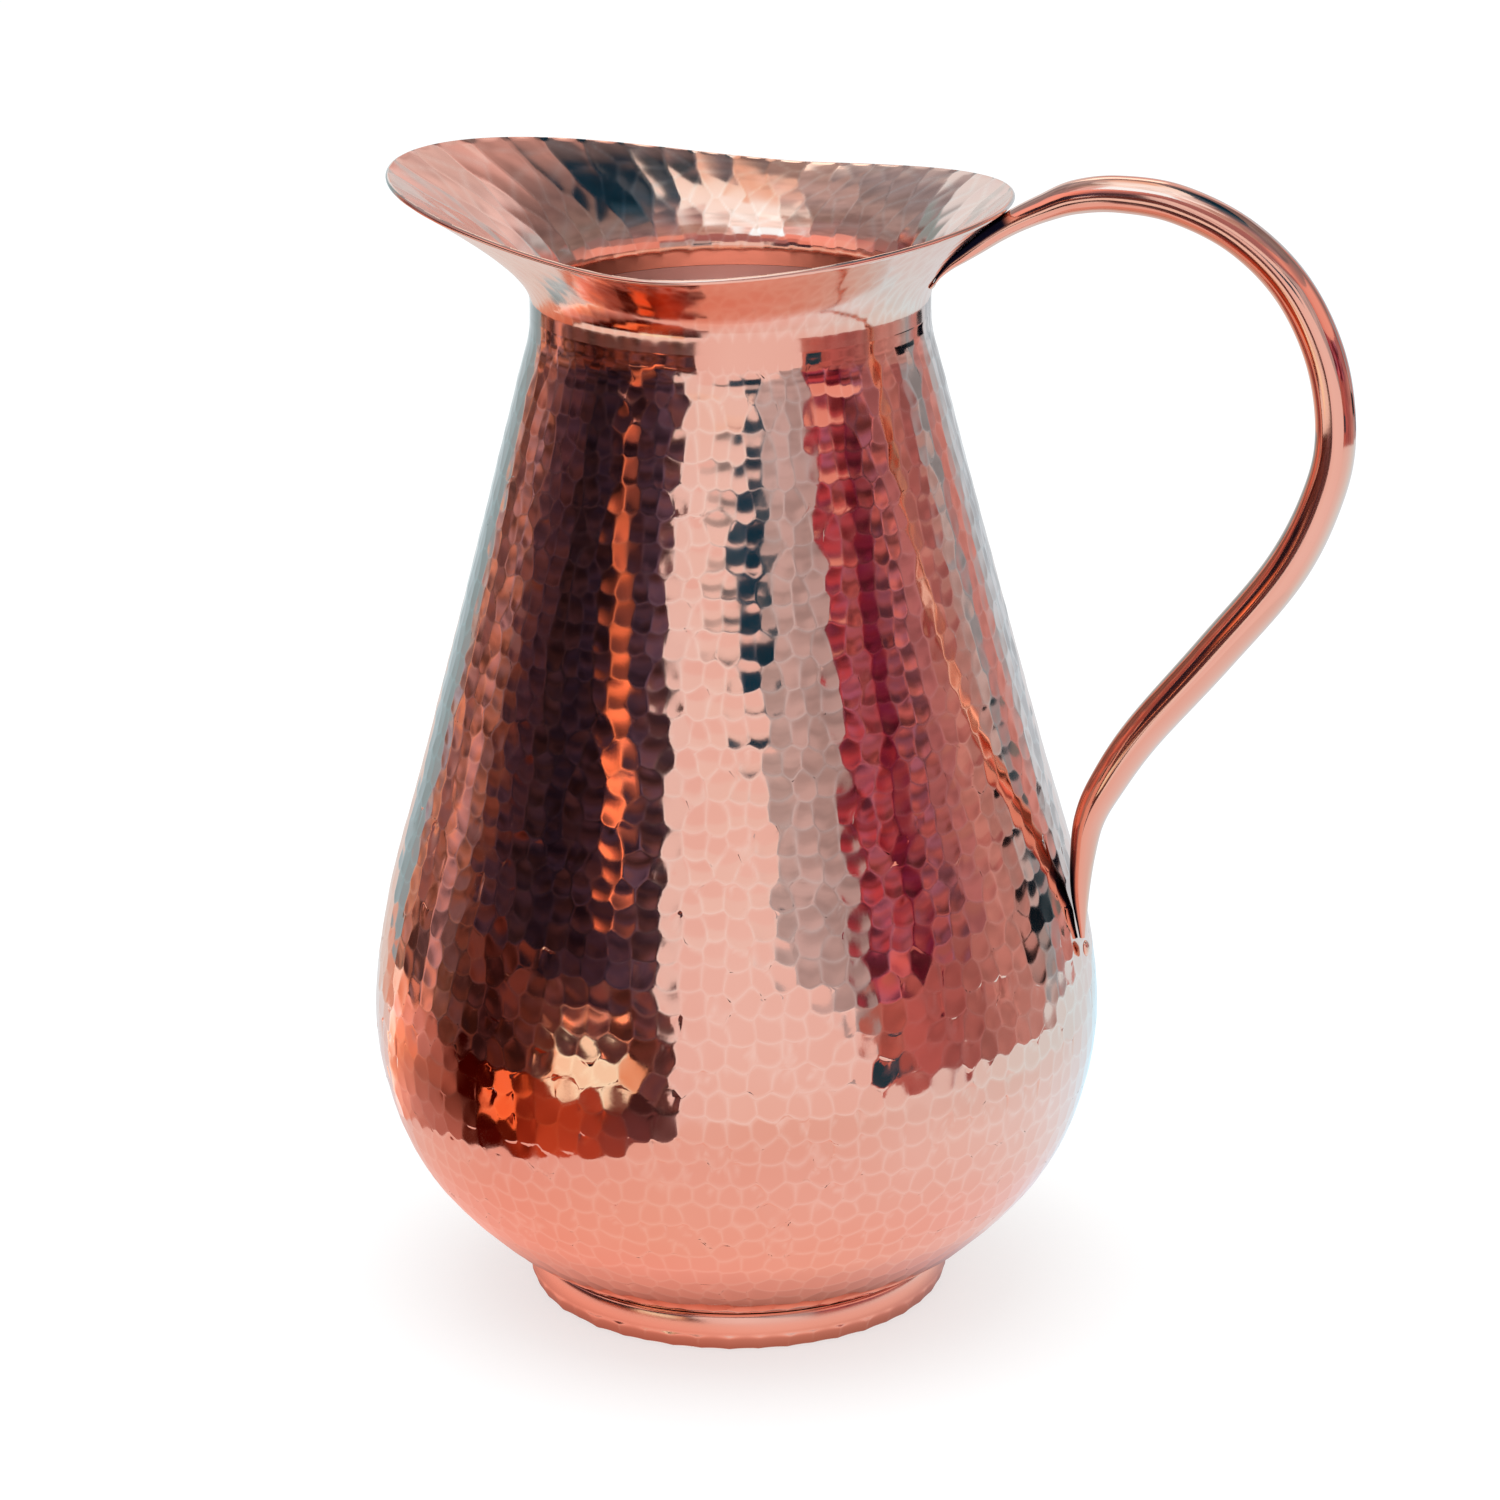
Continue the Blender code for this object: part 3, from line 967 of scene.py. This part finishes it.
def stand(name, distance, low, high, stops, material, lean=0.0):
    """A curved card near the jug, between two heights over the table. Its top leans left by an angle."""
    azimuths = fine(stops)
    middle = np.array((AXIS_X, 0.0, 0.0))
    rows = np.linspace(0.0, 1.0, STANDING_ROWS)

    def place(azimuth, row):
        outward = facing(azimuth - lean * row) * distance
        return (middle + outward + np.array((0, 0, low + (high - low) * row))).tolist()

    shades = np.tile(shades_between(stops, azimuths), (len(rows), 1))
    painted(name, azimuths, rows, shades, place, material)


def hang(name, layer, low, high, stops, material):
    """A curved card round the jug. Its edges are elevations in degrees, or one for each end of the edge."""
    azimuths = fine(stops)
    ends = (azimuths[0], azimuths[-1])
    lows = np.interp(azimuths, ends, np.broadcast_to(low, 2))
    highs = np.interp(azimuths, ends, np.broadcast_to(high, 2))
    index = {azimuth: k for k, azimuth in enumerate(azimuths)}
    rows = np.linspace(0.0, 1.0, 1 + max(1, int(max(highs - lows) / HANGING_ROW_DEGREES)))
    middle = np.array((AXIS_X, 0.0, CAMERA_TARGET_HEIGHT))

    def place(azimuth, row):
        k = index[azimuth]
        elevation = math.radians(lows[k] + (highs[k] - lows[k]) * row)
        ray = facing(azimuth) * math.cos(elevation) + np.array((0.0, 0.0, math.sin(elevation)))
        return (middle + ray * (ROOM_RADIUS - LAYER_STEP * layer)).tolist()

    shades = np.tile(shades_between(stops, azimuths), (len(rows), 1))
    painted(name, azimuths, rows, shades, place, material)


def lay(name, depth, rows, material):
    """A sheet on the table round the jug, from rows of (radius, stops), nearest first. A bent row has
    pairs of (azimuth, radius) for its radius."""
    azimuths = fine(rows[0][1])
    middle = np.array((AXIS_X, 0.0, -depth))
    shades = np.concatenate([shades_between(stops, azimuths) for radius, stops in rows])
    bends = [radius if isinstance(radius, tuple) else ((0.0, radius),) for radius, stops in rows]

    def place(azimuth, row):
        radius = np.interp(azimuth, *zip(*bends[row]))
        return (middle + facing(azimuth) * radius).tolist()

    painted(name, azimuths, range(len(rows)), shades, place, material)


def tones(azimuths, codes):
    """Pairs of azimuth and colour, from two lists written as text."""
    return list(zip((float(word) for word in azimuths.split()), codes.split()))


def cards():
    """What stands round polished copper in a studio, so that it shows bands and not one blank white."""
    even = glow("card_paint")
    cluttered = glow("cluttered_room", clutter=(0.35, 1.75), tints=CLUTTER_TINTS)
    busy = glow("busy_card", clutter=(0.80, 1.22))
    bright = glow("bright_card", clutter=(1.45, 1.65))
    hang("left_edge", 0, -40, 30, tones(
        "-180 -168 -162 -154 -146 -139", "e4e6e6 d6dada b9bfc0 a4acad 8d9695 949391"), even)
    hang("left_dark", 0, -14, 30, tones(
        "-139 -134 -129 -124 -118 -110 -102 -90 -78 -66 -58",
        "9d8a84 b3806f aa6456 6c3b36 85504a 6e403a 4f2c2b 3a1e20 2b181a 241419 30191a"), cluttered)
    hang("left_near", 0, -14, 30, tones(
        "-58 -48 -40 -33 -25", "2c181c 30191c 3c2428 503032 4a2c2c"), cluttered)
    stand("left_door", 0.40, 0.172, 0.222, tones(
        "-42 -40 -38.5 -36.5 -35 -31", "4a2620 a04a38 f07850 e8704c 8e4634 4a2622"), cluttered, lean=11)
    stand("left_door_head", 0.40, 0.222, 0.268, tones(
        "-53.5 -51.5 -49.5 -47.5 -45.5 -42", "4a2620 9c4a3a ec7854 e06c4c 8a4436 4a2622"), cluttered, lean=5)
    hang("left_brown", 1, -14, 2, tones(
        "-137 -131 -127 -124 -120 -113 -107 -100 -84 -66 -48 -30 -17.5",
        "a8786a ac6854 703e34 6c3a30 94584a a86659 7c4a3e 562c24 4a1c16 52241c 60302a 592b25 5c2f2a",
    ), cluttered)
    stand("left_window", 0.38, 0.001, 0.056, tones(
        "-54.5 -52 -35 -31 -27.5", "f49066 ffc49e ffcda8 ffb088 ff9060"), busy)
    hang("left_sill", 3, -2.2, -1.4, tones(
        "-60 -56 -34 -30", "a04c38 f88e68 f88e68 a85440"), cluttered)
    hang("left_salmon", 1, -34, -14, tones(
        "-180 -152 -144 -128 -106 -101", "e8e0dc dcb8aa d98a70 d8765a cc6448 5a2c22"), even)
    hang("softbox", 0, -90, 19, tones("-25 -10 12", "e8b3a4 ecb8a8 eab5a5"), even)
    hang("softbox_low", 2, -90, 12, tones("-20 0 40", "e8a999 ebb0a0 e8ad9e"), even)
    stand("softbox_side", 0.40, 0.232, 0.268, tones("-28 -22", "e8b3a4 e8b3a4"), even)
    stand("softbox_shade", 0.40, 0.126, 0.162, tones("-24 -20.5", "4a2c2c 5c3632"), cluttered)
    stand("gap", 0.50, 0.250, 0.296, tones("1 4 13 14.5", "3a464e 12303e 0c2632 3a4850"), even)
    stand("gap_left", 0.502, 0.278, 0.293, tones("-12 -5 1", "d8a99b 8a7068 3c4248"), even)
    hang("gap_specks", 5, (17, 14.5), 19, tones("8 12 17", "2a3c46 1c323e 4a4c50"), even)
    hang("gap_low", 6, -10.5, -6.5, tones("43 52", "1c3038 24343a"), even)
    hang("grey_panel", 4, (10, -3), 26, tones("12 24 41", "b8958c b78f86 a5817a"), busy)
    hang("red_left", 0, -13, 30, tones(
        "41 44 47 50 53 56 59 62 65 68 72 76 80",
        "7c2832 7a2830 8a3038 94444a a04c4c 883234 701c26 66182a 6c2a30 844044 8c4648 944e50 985250",
    ), cluttered)
    hang("right_red", 0, -13, 30, tones(
        "80 84 90 96 102 108 112 121 125 130 134 140 146 152 165 180",
        "985250 a45a58 a8605a ac6258 9b524d 97554f 928280 908684 a8706a c4766a bc7a70 a89c9a bcb6b6 b8b6b8"
        " c7c5c6 e4e4e4"), busy)
    hang("right_salmon", 2, -14, 2, tones(
        "40 48 58 72 84 96 108 118", "b86153 ac4f43 a44b44 994c46 a25c53 b97165 b4766b b0948c"), busy)
    hang("right_floor", 1, -90, -13, tones("38 70 100 130 180", "e6ab9b dfb2a5 d9c0b6 d2c8c3 e0dcda"), even)
    hang("throat_left", 3, 17, 31, tones(
        "-120 -108 -96 -80 -62 -50", "8a6662 9a6860 b46a62 ee9c88 fa9a84 f48c74"), even)
    hang("throat", 3, 21.5, 31, tones("-50 -42 -34 34 42", "f48c74 d8725e a2605a a05e58 dc7a66"), even)
    hang("throat_right", 3, 14, 31, tones("42 60 90 108 120", "dc7a66 e88c78 ec917c 9a6860 7b625a"), even)
    hang("throat_edge", 3, 31, 41, tones(
        "-96 -84 -70 -50 -36 -14 20 36 60 84 104", "9a6a62 e09080 fa9783 fa907c e8846e a8645a a8605a ea8c76"
        " b87468 9a6c64 8c6a66"), even)
    hang("key_light", 6, 41, 57, tones("-42 -38 -12 -8", "f0d8d0 fff8f4 fff8f4 f4dcd4"), even)
    hang("inside_left", 3, 17, 38, tones("147 150 160 172 180", "c8a4a0 e0bdb8 e2c2bc d9b6b2 ddc0bc"), busy)
    hang("inside_right", 3, 12, 30, tones("-180 -158 -153 -150", "e9e5e5 e8e4e4 e0dcdd a8a2a4"), even)
    hang("right_flag", 4, (-7.3, -9), (-2.2, -5.6), tones(
        "106 108 113 120 124 128", "5a3028 0c0a0c 0a1016 142026 3c4448 8a766c"), busy)
    hang("far_flag", 4, -12, -9.3, tones("133 135 140 142", "50443e 0a0c14 06060e 3c2c2c"), busy)
    hang("ceiling_low", 2, 30, 57, tones(
        "-180 -160 -150 -146 -130 -107 -80 -62 -56 -46 -38 -8 9 30 50 63 88 110 136 143 150 160 170 180",
        "e0d8d8 d0c8c8 948688 8d8082 a0847e 90706a 98706a b0786e e6a89a e4a598 f0bcae f2beb0 c28c7c ac7868"
        " a0706c 7c5f5c 8d7069 86685f 7c5e5a 94706a c4948c dcb2ac e4c8c4 e0d8d8"), busy)
    hang("ceiling_middle", 2, 57, 69, tones(
        "-180 -165 -143 -120 -105 -80 -60 -45 -30 10 26 40 60 74 86 100 106 134 138 146 158 170 180",
        "989090 a89a98 c0a09a a4857f 94746c 9a7468 c09080 fad4c6 fcdacc fcdcd0 e0b8aa b08078 584e52 5a5254"
        " 32424c 1c3440 0a2430 142c3a 4c4446 6a5e60 80747a 878083 989090"), busy)
    hang("ceiling_high", 2, 69, 76, tones(
        "-180 -165 -150 -120 -100 -60 -30 10 40 60 76 95 120 140 150 160 170 180",
        "f6e0d0 f0d4c6 e4b8aa c49c92 d8b4a6 fad8c8 ffe2d6 fde2d6 e8bcae b08880 5c5458 3a444d 44484e 40464c"
        " 6a5e62 c0a8a2 f0d8cc f6e0d0"), busy)
    hang("ceiling_top", 2, 76, 90, tones(
        "-180 -60 60 140 150 180", "feead8 fee3d6 fedccd fde0d2 fde2d4 feead8"), even)
    hang("back_window", 4, 42, 57, tones("163 166 196 200", "f0dcd0 fff4ea fff4ea f0dcd0"), bright)
    around = "-180 -140 -100 -60 -20 20 60 100 140 180"
    # Painted shadow and painted reflected glow: this sheet is darkest and reddest by the foot and pales
    # outwards, for the table's contact shadow and the jug's warm light on it, as the copper mirrors them
    lay("paper_round_foot", 0.0004, [
        (0.044, tones(around, "88483c 9c4a3a a05040 a45240 a45240 a05846 98584a 8c5850 84544c 88483c")),
        (0.052, tones(around, "b87060 c86c56 d47660 d87a64 d87c66 d4806c cc8476 bc8478 b08074 b87060")),
        (0.062, tones(around, "c98070 e07f66 ee8a72 ef8c74 ee907a ec9a84 e8a08e dda594 cfa496 c98070")),
        (0.080, tones(around, "d09a8c e3957f ec8f78 f0937d ec9780 ec9e8a eba596 e3b0a4 d6b2a8 d09a8c")),
        (0.110, tones(around, "d8b0a4 dd9f8e e6957f ea9480 e99983 eaa493 e6ac9e e0baae d8c0b8 d8b0a4")),
        (0.145, tones(around, "dcc8c0 dcb2a6 e29a88 e49484 e79a86 e7a494 e5b0a2 dfbfb6 d2c8c4 dcc8c0")),
        (0.250, tones(around, "e4dcd8 dcbcb0 dd8a70 e08a70 e7a28f e4a594 dcaa9c d8bab0 cec6c2 e4dcd8")),
    ], even)
    far_side = tones(
        "-66 -62 -58 -50 -42 -34 -26 -20 -16",
        "480602 5a1406 7c200e 9a341c 90301c 7a2a1c 75332a 6e352a 8a5044")
    lay("rust_table", 0.0003, [
        (radius, [
            (-126, "d8b0a4"), (-120, "cc7860"), (edge - 4, "ca6046"), (edge, "742818"), (edge + 4, "470401"),
        ] + far_side)
        for radius, edge in ((TABLE_EDGE, -77), (0.22, -84), (0.28, -88), (0.34, -91), (0.41, -93))
    ], cluttered)
    lay("flame", 0.0002, [
        (radius, tones("-73 -71.5 -67 -61.5 -59.5", "b03418 ff6c40 ff6434 f0582c b84020"))
        for radius in (0.180, 0.320)
    ], busy)


def floor():
    corners = [(x * FLOOR_REACH, y * FLOOR_REACH, 0.0) for x, y in ((-1, -1), (1, -1), (1, 1), (-1, 1))]
    obj = mesh_object("floor", corners, [(0, 1, 2, 3)])
    material, tree = nodes_of("floor_paper")
    shader = tree.nodes["Principled BSDF"]
    shader.inputs["Roughness"].default_value = 0.9
    shader.inputs["Specular IOR Level"].default_value = 0.0
    place = tree.nodes.new("ShaderNodeTexCoord").outputs["Object"]
    colour = mixed(tree, noise(tree, place, 3, 2), (0.41, 0.425, 0.43), (0.42, 0.435, 0.44))
    tree.links.new(colour, shader.inputs["Base Color"])
    shader.inputs["Emission Color"].default_value = (1.0, 1.0, 1.0, 1.0)
    shader.inputs["Emission Strength"].default_value = 0.60
    material.cycles.emission_sampling = "NONE"
    obj.data.materials.append(material)
    obj.visible_glossy = False


def lights():
    world = bpy.data.worlds.new("studio")
    bpy.context.scene.world = world
    world.use_nodes = True
    background = world.node_tree.nodes["Background"]
    background.inputs["Color"].default_value = (1.0, 1.0, 1.0, 1.0)
    background.inputs["Strength"].default_value = 1.0
    data = bpy.data.lights.new("overhead_softbox", "AREA")
    data.shape = "RECTANGLE"
    data.size, data.size_y = OVERHEAD_SIZE, OVERHEAD_SIZE
    data.energy = OVERHEAD_LIGHT
    lamp = bpy.data.objects.new("overhead_softbox", data)
    lamp.location = (AXIS_X - 0.1, -0.1, 1.3)
    lamp.visible_glossy = False
    bpy.context.scene.collection.objects.link(lamp)
    data = bpy.data.lights.new("light_through_the_mouth", "POINT")
    data.energy = INNER_LIGHT
    data.color = (1.0, 0.86, 0.84)
    data.shadow_soft_size = 0.02
    glimmer = bpy.data.objects.new("light_through_the_mouth", data)
    glimmer.location = (AXIS_X, 0.0, 0.17)
    glimmer.visible_camera = False
    bpy.context.scene.collection.objects.link(glimmer)


def view():
    scene = bpy.context.scene
    scene.view_settings.view_transform = "Standard"
    scene.view_settings.look = "None"
    scene.view_settings.exposure = 0.0
    scene.view_settings.gamma = 1.0


camera()
make_pieces()
floor()
cards()
lights()
view()
